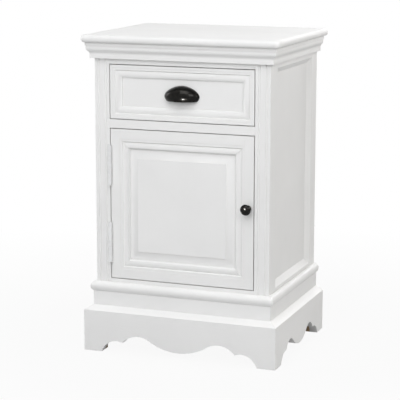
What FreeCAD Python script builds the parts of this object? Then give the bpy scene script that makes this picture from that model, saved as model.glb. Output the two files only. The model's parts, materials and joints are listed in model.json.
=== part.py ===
import FreeCAD, Part
import math
import os
import Sketcher
from types import SimpleNamespace

# Driving dimensions of the nightstand, in millimetres
SIZES = {
    # Overall form
    "total_height": 700,
    "body_width": 400,
    "body_depth": 335,
    "cut_overrun": 5,
    # Top board
    "top_overhang": 25,
    "top_thickness": 17,
    "top_corner_radius": 12,
    # Front openings
    "door_sill_height": 163.5,
    "middle_rail_height": 19,
    "drawer_opening_height": 120,
    "top_rail_height": 45.5,
    "reveal": 1.75,
    # Corner posts
    "post_width": 34,
    "front_post_depth": 44,
    "rear_post_depth": 38,
    "flute_width": 5,
    "flute_depth": 2,
    "flute_inset": 9,
    # Rails and their tenons
    "rail_thickness": 20,
    "middle_rail_depth": 45,
    "tenon_length": 12,
    "tenon_shoulder": 5,
    # Side panels in grooved, bevelled frames
    "panel_thickness": 6,
    "panel_recess": 10,
    "bevel_run": 12,
    "groove_depth": 8,
    "panel_play": 1,
    # Back and cupboard floor
    "back_thickness": 5,
    "back_lap": 22,
    "floor_thickness": 12,
    # Cornice
    "cornice_height": 34,
    "fillet_projection": 8.5,
    "fillet_height": 7,
    "ogee_run": 6,
    "ogee_height": 17,
    "ogee_rise": 1.2,
    "neck_height": 3.5,
    "lip_projection": 1.5,
    # Base moulding
    "base_moulding_height": 53,
    "band_projection": 6.3,
    "band_height": 31,
    "bead_projection": 12,
    "bead_level": 42.5,
    "bead_upper_rise": 3.6,
    "bead_lower_rise": 1.5,
    # Scalloped plinth
    "plinth_height": 102.5,
    "plinth_face_height": 92.3,
    "plinth_projection": 23,
    "plinth_thickness": 18,
    "foot_width": 42,
    "cusp_height": 23.7,
    "shoulder_height": 32.6,
    "drop_height": 14,
    "foot_arch_rise": 12.2,
    "side_foot_arch_rise": 8.5,
    "arch_rise": 13,
    "back_plinth_lift": 45,
    "block_chamfer": 8,
    # Drawer runners, kickers and stops
    "runner_width": 20,
    "guide_width": 12,
    "guide_height": 28,
    "kicker_height": 19,
    "runner_end_gap": 10,
    "stop_width": 30,
    "stop_depth": 14,
    "stop_height": 6,
    "stop_spacing": 150,
    "running_gap": 0.3,
    # Drawer
    "drawer_front_thickness": 20,
    "drawer_edge_width": 5.5,
    "drawer_quirk": 0.7,
    "drawer_step_width": 5,
    "drawer_valley_run": 1.7,
    "drawer_valley_depth": 3.2,
    "drawer_bead_width": 14.8,
    "drawer_bead_depth": 4,
    "drawer_bead_rise": 2,
    "drawer_recess": 6,
    "drawer_margin": 1.5,
    "drawer_back_gap": 25,
    "drawer_side_thickness": 12,
    "drawer_lap": 10,
    "drawer_dado": 4,
    "drawer_bottom_thickness": 5,
    "drawer_bottom_lift": 9.2,
    "drawer_bottom_groove": 5,
    "drawer_back_drop": 8,
    # Cup pull
    "pull_half_width": 40,
    "pull_dome_radius": 23.25,
    "pull_skirt_height": 10,
    "pull_wall": 1.8,
    "pull_lift": 4.5,
    "pull_boss_radius": 4.5,
    "pull_boss_spacing": 54,
    "pull_boss_lift": 3,
    # Machine screws of pull and knob
    "screw_radius": 2,
    "screw_bite": 8,
    "screw_head_radius": 4,
    "screw_head_height": 2.5,
    "screw_gap": 0.05,
    # Door frame and raised panel
    "door_thickness": 20,
    "door_flat_width": 21,
    "door_quirk": 0.7,
    "door_step_width": 5.5,
    "door_valley_run": 2,
    "door_valley_depth": 3.6,
    "door_bead_width": 12,
    "door_bead_depth": 2.4,
    "door_bead_rise": 1.2,
    "door_slope_run": 2.5,
    "door_slope_depth": 6,
    "door_groove_level": 8,
    "field_margin": 4,
    "field_cove_run": 15.5,
    "field_cove_height": 5.6,
    "field_cove_rise": 0.4,
    "field_step": 1.4,
    # Butt hinges
    "hinge_length": 88,
    "knuckle_radius": 4.5,
    "knuckle_stand_off": 4.8,
    "knuckle_gap": 0.3,
    "leaf_thickness": 1.6,
    "leaf_width": 16,
    "pin_radius": 2.2,
    "pin_gap": 0.05,
    "pin_head_radius": 3.2,
    "pin_head_height": 1.5,
    "wood_screw_radius": 1.5,
    "wood_screw_length": 15,
    "wood_screw_spacing": 29,
    "wood_screw_inset": 10,
    # Knob
    "knob_edge_distance": 12.5,
    "knob_lift": 11,
    "rosette_radius": 7.5,
    "rosette_height": 2.5,
    "neck_radius": 4.5,
    "neck_length": 8.5,
    "head_radius": 12,
    "head_edge_height": 16,
    "knob_length": 24,
    # Magnetic catch and strike
    "catch_width": 46,
    "catch_depth": 14,
    "catch_height": 12,
    "catch_block_width": 30,
    "catch_flange_height": 2.5,
    "catch_edge_distance": 20,
    "strike_width": 30,
    "strike_height": 10,
    "strike_thickness": 1.2,
}

# Shares of the sizes that these shapes follow
NOSE_SHARE = 0.47
CUSP_SHARE = 0.724
SHOULDER_SHARE = 0.362
HINGE_SHARE = 0.2413
DOME_SHARES = ((0.8, 0.54), (0.3, 1))
KNOB_SHARES = ((0, 1), (0.3, 1), (1, 0.45), (1, 0))
KNUCKLES = 5

V = FreeCAD.Vector
doc = FreeCAD.newDocument("Nightstand")
pieces = {}


class Size:
    """A length worked out from the sheet: its expression and its present value."""

    def __init__(self, text, value):
        self.text = text
        self.value = value

    @staticmethod
    def of(thing):
        return thing if isinstance(thing, Size) else Size(repr(thing), thing)

    def __add__(self, other):
        other = Size.of(other)
        return Size(f"({self.text} + {other.text})", self.value + other.value)

    def __sub__(self, other):
        other = Size.of(other)
        return Size(f"({self.text} - {other.text})", self.value - other.value)

    def __mul__(self, other):
        other = Size.of(other)
        return Size(f"({self.text} * {other.text})", self.value * other.value)

    def __truediv__(self, other):
        other = Size.of(other)
        return Size(f"({self.text} / {other.text})", self.value / other.value)

    def __neg__(self):
        return Size(f"(0 - {self.text})", -self.value)


def fill_sheet():
    """Write the driving dimensions into the sheet, one alias to a row."""
    sheet = doc.addObject("Spreadsheet::Sheet", "Sizes")
    for row, (alias, value) in enumerate(SIZES.items(), start=1):
        sheet.set(f"A{row}", alias)
        sheet.set(f"B{row}", str(value))
        sheet.setAlias(f"B{row}", alias)
    doc.recompute()
    return SimpleNamespace(**{name: Size(f"Sizes.{name}", value) for name, value in SIZES.items()})


size = fill_sheet()

# Planes and levels that several pieces share
back_y = (size.body_depth + size.top_overhang) / 2
front_y = back_y - size.body_depth
side_x = size.body_width / 2
opening_x = side_x - size.post_width
carcass_top = size.total_height - size.top_thickness
drawer_head = carcass_top - size.top_rail_height
drawer_sill = drawer_head - size.drawer_opening_height
door_head = drawer_sill - size.middle_rail_height
door_sill = size.door_sill_height
rail_inner_x = side_x - size.rail_thickness
panel_outer_x = side_x - size.panel_recess
panel_inner_x = panel_outer_x - size.panel_thickness
front_stile_y = front_y + size.front_post_depth
rear_stile_y = back_y - size.rear_post_depth
front_bevel_y = front_stile_y + size.bevel_run
rear_bevel_y = rear_stile_y - size.bevel_run
back_inner_y = back_y - size.back_thickness
leaf_x = opening_x - size.reveal
leaf_bottom = door_sill + size.reveal
leaf_top = door_head - size.reveal
door_step_end = size.door_flat_width + size.door_step_width
door_valley = door_step_end + size.door_valley_run
door_bead_end = door_valley + size.door_bead_width
door_frame_width = door_bead_end + size.door_slope_run


# Helpers for bound solids


def bind(thing, prop, length):
    thing.setExpression(prop, Size.of(length).text)


def piece(label, solid):
    """Name a finished solid as one of the nightstand's pieces."""
    solid.Label = label
    pieces[label] = solid
    return solid


def block(x, y, z):
    """A rectangular block between a low and a high place on each axis."""
    solid = doc.addObject("Part::Box", "Block")
    spans = (x, y, z)
    for prop, axis, (low, high) in zip(("Length", "Width", "Height"), "xyz", spans):
        bind(solid, prop, Size.of(high) - low)
        bind(solid, f"Placement.Base.{axis}", low)
    return solid


def upright_rod(x, y, z, radius):
    """A round rod along Z between two heights."""
    solid = doc.addObject("Part::Cylinder", "Rod")
    bind(solid, "Radius", radius)
    bind(solid, "Height", z[1] - z[0])
    for axis, place in zip("xyz", (x, y, z[0])):
        bind(solid, f"Placement.Base.{axis}", place)
    return solid


def fuse(*solids):
    joined = doc.addObject("Part::MultiFuse", "Joined")
    joined.Shapes = list(solids)
    return joined


def cut(solid, *tools):
    worked = doc.addObject("Part::Cut", "Worked")
    worked.Base = solid
    worked.Tool = tools[0] if len(tools) == 1 else fuse(*tools)
    return worked


def common(*solids):
    shared = doc.addObject("Part::MultiCommon", "Shared")
    shared.Shapes = list(solids)
    return shared


def group(*solids):
    """Separate solids that make one node."""
    bundle = doc.addObject("Part::Compound", "Group")
    bundle.Links = list(solids)
    return bundle


def mirrored(solid):
    """The same solid on the other side of the middle plane."""
    twin = doc.addObject("Part::Mirroring", "Twin")
    twin.Source = solid
    twin.Normal = V(1, 0, 0)
    return twin


def pair(name, right, left=None):
    """Name a right-hand piece and its left-hand twin."""
    piece(f"{name}_left", left or mirrored(right))
    piece(f"{name}_right", right)


def origin_part(body, role):
    return next(part for part in body.Origin.OriginFeatures if part.Role == role)


def edge_between(start, end, rise):
    """A line, or an arc that bows out by the rise: to the right of travel where that is positive."""
    if rise is None:
        return Part.LineSegment(start, end), (1, 2)
    chord = end - start
    right = V(chord.y, -chord.x, 0).normalize()
    radius = (chord.Length ** 2 / 4 + rise ** 2) / (2 * rise)
    centre = (start + end) / 2 + right * (rise - radius)
    turns = [math.atan2(spot.y - centre.y, spot.x - centre.x) for spot in (start, end)]
    order = (1, 2) if rise > 0 else (2, 1)
    circle = Part.Circle(centre, V(0, 0, 1), abs(radius))
    return Part.ArcOfCircle(circle, turns[order[0] - 1], turns[order[1] - 1]), order


def add_loop(sketch, corners):
    """Draw a closed outline and bind every corner and radius to the sheet."""
    first = sketch.GeometryCount
    count = len(corners)
    spots = [V(Size.of(corner[0]).value, Size.of(corner[1]).value, 0) for corner in corners]
    edges = []
    ends = []
    for index in range(count):
        target = corners[(index + 1) % count]
        rise = target[2].value if len(target) > 2 else None
        edge, order = edge_between(spots[index], spots[(index + 1) % count], rise)
        edges.append(edge)
        ends.append(order)
    sketch.addGeometry(edges)
    for index, corner in enumerate(corners):
        here = first + index
        before = first + (index - 1) % count
        start = ends[index][0]
        sketch.addConstraint(Sketcher.Constraint("Coincident", before, ends[index - 1][1], here, start))
        for kind, place in zip(("DistanceX", "DistanceY"), corner):
            place = Size.of(place)
            rule = sketch.addConstraint(Sketcher.Constraint(kind, -1, 1, here, start, place.value))
            sketch.setExpression(f"Constraints[{rule}]", place.text)
        if len(corner) > 2:
            last = corners[index - 1]
            run = Size.of(corner[0]) - last[0]
            lift = Size.of(corner[1]) - last[1]
            rise = corner[2] if corner[2].value > 0 else -corner[2]
            radius = ((run * run + lift * lift) / 4 + rise * rise) / (rise * 2)
            rule = sketch.addConstraint(Sketcher.Constraint("Radius", before, radius.value))
            sketch.setExpression(f"Constraints[{rule}]", radius.text)


def outline(body, plane, level, *loops):
    """A sketch on one of the body's own planes, moved to a level along its axis."""
    sketch = body.newObject("Sketcher::SketchObject", "Outline")
    sketch.AttachmentSupport = [(origin_part(body, f"{plane}_Plane"), "")]
    sketch.MapMode = "FlatFace"
    bind(sketch, "AttachmentOffset.Base.z", -Size.of(level) if plane == "XZ" else level)
    for loop in loops:
        add_loop(sketch, loop)
    return sketch


def prism(plane, span, *loops):
    """A body padded from an outline across a span on the axis square to its plane."""
    body = doc.addObject("PartDesign::Body", "Body")
    low, high = span
    pad_start = high if plane == "XZ" else low
    pad = body.newObject("PartDesign::Pad", "Pad")
    pad.Profile = outline(body, plane, pad_start, *loops)
    bind(pad, "Length", Size.of(high) - low)
    body.Tip = pad
    return body


def pocket(body, plane, *loops):
    """Cut outlines right through a body."""
    hollow = body.newObject("PartDesign::Pocket", "Pocket")
    hollow.Profile = outline(body, plane, 0, *loops)
    hollow.Type = "ThroughAll"
    hollow.SideType = "Symmetric"
    body.Tip = hollow
    return body


def turned(axis, corners, place):
    """A body turned about X or Y from an outline of places along the axis and radii."""
    body = doc.addObject("PartDesign::Body", "Body")
    loop = corners if axis == "X" else [(radius, along, *bow) for along, radius, *bow in corners]
    spin = body.newObject("PartDesign::Revolution", "Revolution")
    spin.Profile = outline(body, "XY", 0, loop)
    spin.ReferenceAxis = (origin_part(body, f"{axis}_Axis"), [""])
    body.Tip = spin
    for letter, spot in zip("xyz", place):
        bind(body, f"Placement.Base.{letter}", spot)
    return body


# Top board and mouldings


def top_board():
    """The top: rounded front corners and a bullnose on three edges."""
    half = side_x + size.top_overhang
    radius = size.top_corner_radius
    nose_y = front_y - size.top_overhang
    corner_rise = radius * (1 - 0.5 ** 0.5)
    body = prism(
        "XY",
        (carcass_top, size.total_height),
        [
            (-half, back_y),
            (-half, nose_y + radius),
            (-half + radius, nose_y, corner_rise),
            (half - radius, nose_y),
            (half, nose_y + radius, corner_rise),
            (half, back_y),
        ],
    )
    doc.recompute()
    pad = body.Tip
    names = []
    for number, edge in enumerate(pad.Shape.Edges, start=1):
        box = edge.BoundBox
        on_back = box.YMin > back_y.value - radius.value
        if box.ZLength < radius.value and not on_back:
            names.append(f"Edge{number}")
    nose = body.newObject("PartDesign::Fillet", "Bullnose")
    nose.Base = (pad, names)
    bind(nose, "Radius", size.top_thickness * NOSE_SHARE)
    body.Tip = nose
    piece("top_board", body)


def flipped(profile):
    """A profile of projections and heights as seen on the front, facing the other way."""
    corners = []
    for projection, height, *bow in profile:
        corners.append((front_y - projection, height, *[-rise for rise in bow]))
    return corners


def front_run(profile, reach):
    """A moulding along the front, mitred at both corners."""
    end = side_x + reach
    far = reach + size.cut_overrun
    body = prism("YZ", (-end, end), flipped(profile))
    right = [(side_x, front_y), (side_x + far, front_y - far), (side_x + far, front_y)]
    left = [(-x, y) for x, y in right]
    return pocket(body, "XY", right, left)


def side_run(profile, reach):
    """A moulding along the right side, mitred at the front corner."""
    far = reach + size.cut_overrun
    corners = [(side_x + projection, *rest) for projection, *rest in profile]
    body = prism("XZ", (front_y - reach, back_y), corners)
    return pocket(body, "XY", [(side_x, front_y), (side_x, front_y - far), (side_x + far, front_y - far)])


def cornice():
    """The ogee cornice under the top board."""
    low = carcass_top - size.cornice_height
    ogee_low = low + size.fillet_height
    ogee_top = ogee_low + size.ogee_height
    neck_top = ogee_top + size.neck_height
    middle = size.fillet_projection + size.ogee_run / 2
    neck = size.fillet_projection + size.ogee_run
    lip = neck + size.lip_projection
    profile = [
        (0, low),
        (size.fillet_projection, low),
        (size.fillet_projection, ogee_low),
        (middle, ogee_low + size.ogee_height / 2, -size.ogee_rise),
        (neck, ogee_top, size.ogee_rise),
        (neck, neck_top),
        (lip, neck_top),
        (lip, carcass_top),
        (0, carcass_top),
    ]
    piece("cornice_front", front_run(profile, lip))
    pair("cornice", side_run(profile, lip))


def base_moulding():
    """The flat band and round bead above the plinth."""
    low = size.plinth_height
    top = low + size.base_moulding_height
    profile = [
        (0, low),
        (size.band_projection, low),
        (size.band_projection, low + size.band_height),
        (size.bead_projection, low + size.bead_level, size.bead_lower_rise),
        (0, top, size.bead_upper_rise),
    ]
    piece("base_moulding_front", front_run(profile, size.bead_projection))
    pair("base_moulding", side_run(profile, size.bead_projection))


def scallop(middle, half_span, foot_rise):
    """The cut-out under a plinth board: two cusped arches and a centre drop."""
    cusp = half_span * CUSP_SHARE
    shoulder = half_span * SHOULDER_SHARE
    drop = size.shoulder_height - size.drop_height
    under = -size.cut_overrun
    return [
        (middle - half_span, under),
        (middle + half_span, under),
        (middle + half_span, 0),
        (middle + cusp, size.cusp_height, foot_rise),
        (middle + shoulder, size.shoulder_height, size.arch_rise),
        (middle - shoulder, size.shoulder_height, -drop),
        (middle - cusp, size.cusp_height, size.arch_rise),
        (middle - half_span, 0, foot_rise),
    ]


def plinth():
    """The projecting plinth: three scalloped boards, a back board and corner blocks."""
    reach = size.plinth_projection
    inner = reach - size.plinth_thickness
    profile = [
        (inner, 0),
        (reach, 0),
        (reach, size.plinth_face_height),
        (size.band_projection, size.plinth_height),
        (inner, size.plinth_height),
    ]
    front_span = side_x + reach - size.foot_width
    front = pocket(front_run(profile, reach), "XZ", scallop(Size.of(0), front_span, size.foot_arch_rise))
    piece("plinth_front", front)
    side_length = size.body_depth + reach
    side_middle = back_y - side_length / 2
    side_span = side_length / 2 - size.foot_width
    side = side_run(profile, reach)
    pair("plinth", pocket(side, "YZ", scallop(side_middle, side_span, size.side_foot_arch_rise)))
    inner_x = side_x + inner
    board_y = back_y - size.plinth_thickness
    board_z = (size.back_plinth_lift, size.plinth_height)
    piece("plinth_back", block((-inner_x, inner_x), (board_y, back_y), board_z))
    block_x = side_x + reach - size.foot_width
    front_edge = front_y - inner
    foot_y = front_y - reach + size.foot_width
    rear_foot_y = back_y - size.foot_width
    ease = size.block_chamfer
    height = (Size.of(0), size.plinth_height)
    front_block = prism("XY", height, [
        (block_x, front_edge),
        (inner_x, front_edge),
        (inner_x, foot_y),
        (block_x + ease, foot_y),
        (block_x, foot_y - ease),
    ])
    rear_block = prism("XY", height, [
        (block_x, board_y),
        (block_x, rear_foot_y + ease),
        (block_x + ease, rear_foot_y),
        (inner_x, rear_foot_y),
        (inner_x, board_y),
    ])
    blocks = group(front_block, mirrored(front_block), rear_block, mirrored(rear_block))
    piece("plinth_corner_blocks", blocks)


# Posts and rails


def cross_rail(y, z):
    """A rail between the two posts of one face, and its right-hand tenon."""
    shoulder = size.tenon_shoulder
    far = opening_x + size.tenon_length
    tenon_y = (y[0] + shoulder, y[1] - shoulder)
    tenon_z = (z[0] + shoulder, z[1] - shoulder)
    tenon = block((opening_x, far), tenon_y, tenon_z)
    rail = fuse(block((-opening_x, opening_x), y, z), tenon, mirrored(tenon))
    return rail, tenon


def side_rail(face_edge, far_edge, toward):
    """A bevelled and grooved rail of the right side, and its two tenons.

    The bevel runs from the face edge into the frame, up or down as toward says.
    """
    inside = face_edge + size.bevel_run * toward
    groove = inside - size.groove_depth * toward
    body = prism("XZ", (front_stile_y, rear_stile_y), [
        (rail_inner_x, far_edge),
        (side_x, far_edge),
        (side_x, face_edge),
        (panel_outer_x, inside),
        (panel_outer_x, groove),
        (panel_inner_x, groove),
        (panel_inner_x, inside),
        (rail_inner_x, inside),
    ])
    pocket(
        body,
        "YZ",
        [(front_stile_y, face_edge), (front_bevel_y, inside), (front_stile_y, inside)],
        [(rear_stile_y, face_edge), (rear_stile_y, inside), (rear_bevel_y, inside)],
    )
    shoulder = size.tenon_shoulder
    tenon_x = (rail_inner_x + shoulder, side_x - shoulder)
    low, high = (face_edge, far_edge) if toward < 0 else (far_edge, face_edge)
    tenon_z = (low + shoulder, high - shoulder)
    front_tenon = block(tenon_x, (front_stile_y - size.tenon_length, front_stile_y), tenon_z)
    rear_tenon = block(tenon_x, (rear_stile_y, rear_stile_y + size.tenon_length), tenon_z)
    return fuse(body, front_tenon, rear_tenon), front_tenon, rear_tenon


def mitre_notches(stile_y, bevel_y):
    """The parts of a post's bevel that make room for the side rails."""
    over = size.cut_overrun
    upper = [
        (stile_y, drawer_head),
        (bevel_y, drawer_head - size.bevel_run),
        (bevel_y, carcass_top + over),
        (stile_y, carcass_top + over),
    ]
    lower = [
        (stile_y, door_sill),
        (bevel_y, door_sill + size.bevel_run),
        (bevel_y, size.plinth_height - over),
        (stile_y, size.plinth_height - over),
    ]
    return upper, lower


def panel_groove(y):
    """The groove in a post that holds the edge of the side panel."""
    depth = size.groove_depth - size.bevel_run
    return block((panel_inner_x, panel_outer_x), y, (door_sill - depth, drawer_head + depth))


def flute(start, end):
    """One shallow flute in the front face, as two corners of the post's outline."""
    return [(start, front_y), (end, front_y, -size.flute_depth)]


def front_post():
    """A fluted front post of the right side, with its side bevel."""
    half = size.flute_width / 2
    first = opening_x + size.flute_inset
    second = side_x - size.flute_inset
    corners = [
        (opening_x, front_y),
        *flute(first - half, first + half),
        *flute(second - half, second + half),
        (side_x, front_y),
        (side_x, front_stile_y),
        (panel_outer_x, front_bevel_y),
        (opening_x, front_bevel_y),
    ]
    body = prism("XY", (size.plinth_height, carcass_top), corners)
    return pocket(body, "YZ", *mitre_notches(front_stile_y, front_bevel_y))


def rear_post():
    """A rear post of the right side, with its side bevel and the rebate for the back."""
    rebate_x = opening_x + size.back_lap
    corners = [
        (opening_x, rear_bevel_y),
        (panel_outer_x, rear_bevel_y),
        (side_x, rear_stile_y),
        (side_x, back_y),
        (rebate_x, back_y),
        (rebate_x, back_inner_y),
        (opening_x, back_inner_y),
    ]
    body = prism("XY", (size.plinth_height, carcass_top), corners)
    return pocket(body, "YZ", *mitre_notches(rear_stile_y, rear_bevel_y))


def frame():
    """Posts, rails, side panels, back and floor of the cabinet."""
    thick = size.rail_thickness
    top_z = (drawer_head, carcass_top)
    low_z = (size.plinth_height, door_sill)
    face_y = (front_y, front_y + thick)
    rear_y = (back_inner_y - thick, back_inner_y)
    top_rail, top_tenon = cross_rail(face_y, top_z)
    middle_y = (front_y, front_y + size.middle_rail_depth)
    middle_rail, middle_tenon = cross_rail(middle_y, (door_head, drawer_sill))
    bottom_rail, bottom_tenon = cross_rail(face_y, low_z)
    back_top_rail, back_top_tenon = cross_rail(rear_y, top_z)
    back_bottom_rail, back_bottom_tenon = cross_rail(rear_y, low_z)
    piece("top_rail", top_rail)
    piece("middle_rail", middle_rail)
    piece("bottom_rail", bottom_rail)
    piece("back_top_rail", back_top_rail)
    piece("back_bottom_rail", back_bottom_rail)
    upper, upper_front, upper_rear = side_rail(drawer_head, carcass_top, -1)
    lower, lower_front, lower_rear = side_rail(door_sill, size.plinth_height, 1)
    pair("side_top_rail", upper)
    pair("side_bottom_rail", lower)
    front_groove = panel_groove((front_bevel_y - size.groove_depth, front_bevel_y))
    rear_groove = panel_groove((rear_bevel_y, rear_bevel_y + size.groove_depth))
    front_mortises = (top_tenon, middle_tenon, bottom_tenon, upper_front, lower_front)
    rear_mortises = (back_top_tenon, back_bottom_tenon, upper_rear, lower_rear)
    right = cut(front_post(), front_groove, *front_mortises)
    pair("front_post", right, cut(mirrored(right), *hinge_seats(-1)))
    pair("rear_post", cut(rear_post(), rear_groove, *rear_mortises))
    tongue = size.groove_depth - size.panel_play
    inset = size.bevel_run - tongue
    panel_y = (front_bevel_y - tongue, rear_bevel_y + tongue)
    panel = block((panel_inner_x, panel_outer_x), panel_y, (door_sill + inset, drawer_head - inset))
    pair("side_panel", panel)
    back_x = opening_x + size.back_lap
    piece("back_panel", block((-back_x, back_x), (back_inner_y, back_y), (size.plinth_height, carcass_top)))
    right_edge = [
        (opening_x, front_y + thick),
        (opening_x, front_stile_y),
        (rail_inner_x, front_stile_y),
        (rail_inner_x, rear_stile_y),
        (opening_x, rear_stile_y),
        (opening_x, back_inner_y - thick),
    ]
    left_edge = [(-x, y) for x, y in reversed(right_edge)]
    floor = prism("XY", (door_sill - size.floor_thickness, door_sill), right_edge + left_edge)
    piece("cupboard_floor", floor)


def drawer_guides():
    """Runners with side guides, kickers above the drawer, and stops on the middle rail."""
    inner = opening_x - size.runner_width
    end_y = back_y - size.runner_end_gap
    rail_back = front_y + size.middle_rail_depth
    bar = block((inner, opening_x), (rail_back, end_y), (door_head, drawer_sill))
    guide_x = (opening_x, opening_x + size.guide_width)
    guide = block(guide_x, (front_bevel_y, rear_bevel_y), (door_head, drawer_sill + size.guide_height))
    pair("drawer_runner", fuse(bar, guide))
    kicker_y = (front_y + size.rail_thickness, back_inner_y - size.rail_thickness)
    kicker_z = (drawer_head, drawer_head + size.kicker_height)
    pair("drawer_kicker", block((inner, opening_x), kicker_y, kicker_z))
    start = front_y + size.drawer_front_thickness + size.running_gap
    middle = size.stop_spacing / 2
    half = size.stop_width / 2
    stop_z = (drawer_sill, drawer_sill + size.stop_height)
    stop = block((middle - half, middle + half), (start, start + size.stop_depth), stop_z)
    piece("drawer_stops", group(stop, mirrored(stop)))


# Borders of the drawer front and the door


def swept_border(low, high, section):
    """A moulding swept round a drawer front or a door, mitred at its corners."""
    body = doc.addObject("PartDesign::Body", "Body")
    path = outline(body, "XZ", front_y, [(-leaf_x, low), (leaf_x, low), (leaf_x, high), (-leaf_x, high)])
    corners = [(front_y + depth, low + across, *bow) for across, depth, *bow in section]
    profile = outline(body, "YZ", 0, corners)
    doc.recompute()
    pipe = body.newObject("PartDesign::AdditivePipe", "Border")
    pipe.Profile = profile
    pipe.Spine = (path, [f"Edge{number}" for number in range(1, path.GeometryCount + 1)])
    pipe.Transition = "Right corner"
    body.Tip = pipe
    return body


def leaf_plate(low, high, inset, y):
    """A board inset all round from the edges of a drawer front or a door."""
    return block((-leaf_x + inset, leaf_x - inset), y, (low + inset, high - inset))


# Drawer


def drawer_face():
    """The drawer front: a stepped and beaded border round a recessed board."""
    low = drawer_sill + size.reveal
    high = drawer_head - size.reveal
    thick = size.drawer_front_thickness
    edge = size.drawer_edge_width
    step_end = edge + size.drawer_step_width
    valley = step_end + size.drawer_valley_run
    bead_end = valley + size.drawer_bead_width
    inside = bead_end + size.drawer_margin
    border = swept_border(low, high, [
        (0, thick),
        (0, 0),
        (edge, 0),
        (edge, size.drawer_quirk),
        (step_end, size.drawer_quirk),
        (valley, size.drawer_valley_depth),
        (bead_end, size.drawer_bead_depth, -size.drawer_bead_rise),
        (bead_end, size.drawer_recess),
        (inside, size.drawer_recess),
        (inside, thick),
    ])
    board_y = (front_y + size.drawer_recess, front_y + thick)
    return fuse(border, leaf_plate(low, high, inside, board_y))


def drawer_box():
    """Drawer front, sides, back and bottom, lapped, housed and grooved together."""
    low = drawer_sill + size.running_gap
    high = drawer_head - size.reveal
    front_back = front_y + size.drawer_front_thickness
    end_y = back_inner_y - size.drawer_back_gap
    side_inner = leaf_x - size.drawer_side_thickness
    lap_y = front_back - size.drawer_lap
    thick = size.drawer_side_thickness
    bottom_low = low + size.drawer_bottom_lift
    bottom_high = bottom_low + size.drawer_bottom_thickness
    groove_x = side_inner + size.drawer_bottom_groove
    groove_y = front_back - size.drawer_bottom_groove
    bottom = block((-groove_x, groove_x), (groove_y, end_y), (bottom_low, bottom_high))
    dado_x = side_inner + size.drawer_dado
    back = block((-dado_x, dado_x), (end_y - thick, end_y), (bottom_high, high - size.drawer_back_drop))
    blank = block((side_inner, leaf_x), (lap_y, end_y), (low, high))
    front = cut(drawer_face(), blank, mirrored(blank), bottom, *pull_screws(size.screw_gap))
    piece("drawer_front", front)
    pair("drawer_side", cut(blank, bottom, back))
    piece("drawer_back", back)
    piece("drawer_bottom", bottom)


def pull_place():
    """Centre of the cup pull's dome, on the drawer's recessed board."""
    middle = (drawer_sill + drawer_head) / 2
    return front_y + size.drawer_recess, middle - size.pull_lift


def dome(shrink):
    """A rounded form turned about the cup pull's long axis."""
    wide = size.pull_half_width - shrink
    radius = size.pull_dome_radius - shrink
    right = [(wide * along, radius * out) for along, out in DOME_SHARES]
    left = [(-along, out) for along, out in reversed(right)]
    return turned("X", [(-wide, 0), (wide, 0), *right, *left], (0, *pull_place()))


def machine_screw(place, reach, grow):
    """A flat-headed screw along Y: its shank forward to a reach, its head behind the work."""
    radius = size.screw_radius + grow
    head = size.screw_head_radius + grow
    tall = size.screw_head_height
    corners = [(-reach, 0), (tall, 0), (tall, head), (0, head), (0, radius), (-reach, radius)]
    return turned("Y", corners, place)


def pull_screws(grow):
    """The two screws that hold the cup pull from inside the drawer."""
    y, z = pull_place()
    back = front_y + size.drawer_front_thickness
    reach = back - y + size.screw_bite
    screw = machine_screw((size.pull_boss_spacing / 2, back, z + size.pull_boss_lift), reach, grow)
    return screw, mirrored(screw)


def cup_pull():
    """The hollow cup pull: a thin half dome, open below, with two screw bosses."""
    y, z = pull_place()
    wide = size.pull_half_width + size.cut_overrun
    reach = size.pull_dome_radius + size.cut_overrun
    room = block((-wide, wide), (y - reach, y), (z - size.pull_skirt_height, z + reach))
    shell = cut(common(dome(0), room), dome(size.pull_wall))
    boss_x = size.pull_boss_spacing / 2
    radius = size.pull_boss_radius
    corners = [(-reach, 0), (0, 0), (0, radius), (-reach, radius)]
    boss = turned("Y", corners, (boss_x, y, z + size.pull_boss_lift))
    bosses = common(dome(0), fuse(boss, mirrored(boss)))
    piece("cup_pull", cut(fuse(shell, bosses), *pull_screws(size.screw_gap)))
    piece("cup_pull_screws", group(*pull_screws(Size.of(0))))


# Door


def door_profile(spot):
    """Section of the door's frame: flat, step, valley, bead, slope and panel groove."""
    flat = size.door_flat_width
    width = door_frame_width
    level = size.door_groove_level
    groove_back = level + size.panel_thickness
    groove_end = width - size.groove_depth
    return [
        spot(0, size.door_thickness),
        spot(0, 0),
        spot(flat, 0),
        spot(flat, size.door_quirk),
        spot(door_step_end, size.door_quirk),
        spot(door_valley, size.door_valley_depth),
        spot(door_bead_end, size.door_bead_depth, size.door_bead_rise),
        spot(width, size.door_slope_depth),
        spot(width, level),
        spot(groove_end, level),
        spot(groove_end, groove_back),
        spot(width, groove_back),
        spot(width, size.door_thickness),
    ]


def door_stile():
    """The right-hand stile, with its moulding mitred at both ends."""
    flat = leaf_x - size.door_flat_width
    inside = leaf_x - door_frame_width
    over = size.cut_overrun

    def spot(across, depth, *bow):
        return (leaf_x - across, front_y + depth, *bow)

    body = prism("XY", (leaf_bottom, leaf_top), door_profile(spot))
    upper = [
        (flat, leaf_top + over),
        (flat, leaf_top - size.door_flat_width),
        (inside, leaf_top - door_frame_width),
        (inside, leaf_top + over),
    ]
    lower = [
        (flat, leaf_bottom - over),
        (flat, leaf_bottom + size.door_flat_width),
        (inside, leaf_bottom + door_frame_width),
        (inside, leaf_bottom - over),
    ]
    return pocket(body, "XZ", upper, lower)


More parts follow.
